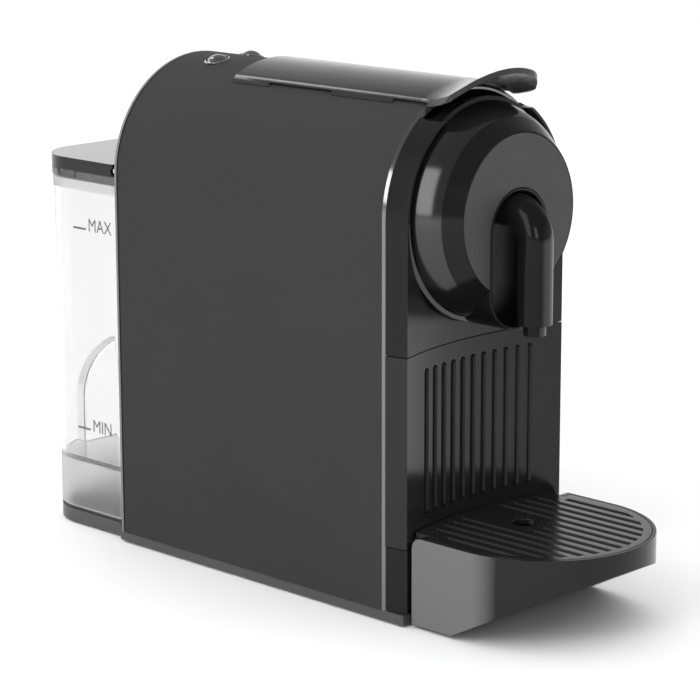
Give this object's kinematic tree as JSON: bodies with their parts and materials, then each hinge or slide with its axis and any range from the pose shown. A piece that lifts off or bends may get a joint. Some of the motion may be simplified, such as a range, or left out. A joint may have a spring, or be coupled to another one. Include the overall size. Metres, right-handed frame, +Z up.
{
  "type": "pod coffee machine",
  "caption": "Pod coffee machine: arched casing, top lever that opens the capsule chamber, spout over a slide-out drip drawer, and a lift-off water tank behind.",
  "frame": {"origin": "middle of the footprint, on the table top", "axes": "+Z up, front with the spout towards -Y, +X to the right of someone who faces +Y"},
  "size_m": [0.11, 0.339, 0.2448],
  "materials": {
    "casing_grey": "fine matte grain",
    "lever_grey": "fine matte grain",
    "gloss_black": "polished",
    "disc_grey": "satin",
    "tray_grey": "satin gloss",
    "grid_grey": "satin",
    "base_grey": "matte",
    "tank_clear": "transparent",
    "lid_black": "polished",
    "chrome": "polished",
    "button_silver": "satin",
    "steel": "brushed",
    "cast_alloy": "cast",
    "rubber": "matte",
    "hose_white": "satin",
    "inner_grey": "moulded",
    "black_plastic": "moulded",
    "board_green": "coated",
    "pump_metal": "zinc coated"
  },
  "bodies": {
    "machine": {"arch_shell": "casing_grey", "base_feet": "rubber", "base_plate": "base_grey", "brew_frame_left": "steel", "brew_frame_right": "steel", "brew_head": "inner_grey", "button_bezels": "chrome", "button_switches": "black_plastic", "capsule_guide_left": "inner_grey", "capsule_guide_right": "inner_grey", "coffee_outlet": "inner_grey", "control_board": "board_green", "cord_gland": "rubber", "coupling_seal": "rubber", "drawer_runners": "inner_grey", "extraction_plate": "steel", "flow_meter": "inner_grey", "front_housing": "gloss_black", "front_sill": "gloss_black", "head_disc": "disc_grey", "head_drum": "gloss_black", "heater_block": "cast_alloy", "heater_stand": "inner_grey", "hose_brew": "hose_white", "hose_meter": "hose_white", "hose_pump": "hose_white", "hose_tank": "hose_white", "lever_pin": "steel", "partition_wall": "inner_grey", "pump": "pump_metal", "pump_boot": "rubber", "pump_strap": "inner_grey", "rear_cross_bar": "inner_grey", "rear_panel": "base_grey", "spout": "gloss_black", "spout_niche": "gloss_black", "spout_nozzle": "black_plastic", "tank_coupling": "inner_grey", "thermostats": "black_plastic", "water_pipe": "steel"},
    "lever": {"lever_cover": "lever_grey", "lever_arm_left": "steel", "lever_arm_right": "steel"},
    "piston": {"capsule_cage": "inner_grey", "needle_plate": "steel", "cage_seal": "rubber", "piston": "inner_grey", "piston_pins": "steel"},
    "drawer": {"capsule_container": "gloss_black", "drip_tray": "tray_grey"},
    "grid": {"drip_grid": "grid_grey"},
    "tank": {"tank": "tank_clear", "lid_pin": "steel", "tank_valve": "inner_grey"},
    "tank_lid": {"tank_lid": "lid_black"},
    "button_left": {"button_left": "button_silver"},
    "button_right": {"button_right": "button_silver"}
  },
  "joints": [
    {"name": "lever_hinge", "type": "hinge", "parent": "machine", "child": "lever", "pos_m": [0, 0.0635, 0.219], "axis": [-1, 0, 0], "range_deg": [0, 70]},
    {"name": "piston_slide", "type": "slide", "parent": "machine", "child": "piston", "axis": [0, 1, 0], "range_m": [0, 0.028]},
    {"name": "drawer_slide", "type": "slide", "parent": "machine", "child": "drawer", "axis": [0, -1, 0], "range_m": [0, 0.13]},
    {"name": "grid_lift", "type": "slide", "parent": "drawer", "child": "grid", "axis": [0, 0, 1], "range_m": [0, 0.05]},
    {"name": "tank_lift", "type": "slide", "parent": "machine", "child": "tank", "axis": [0, 0, 1], "range_m": [0, 0.18]},
    {"name": "lid_hinge", "type": "hinge", "parent": "tank", "child": "tank_lid", "pos_m": [0, 0.1087, 0.1821], "axis": [1, 0, 0], "range_deg": [0, 80]},
    {"name": "button_left_press", "type": "slide", "parent": "machine", "child": "button_left", "axis": [0.2073, 0, -0.9783], "range_m": [0, 0.0015], "stiffness_N_per_m": 800, "springref_m": -0.0005},
    {"name": "button_right_press", "type": "slide", "parent": "machine", "child": "button_right", "axis": [-0.2073, 0, -0.9783], "range_m": [0, 0.0015], "stiffness_N_per_m": 800, "springref_m": -0.0005}
  ],
  "couplings": [
    {"joint": "piston_slide", "follows": "lever_hinge", "m_per_rad": 0.022918}
  ]
}
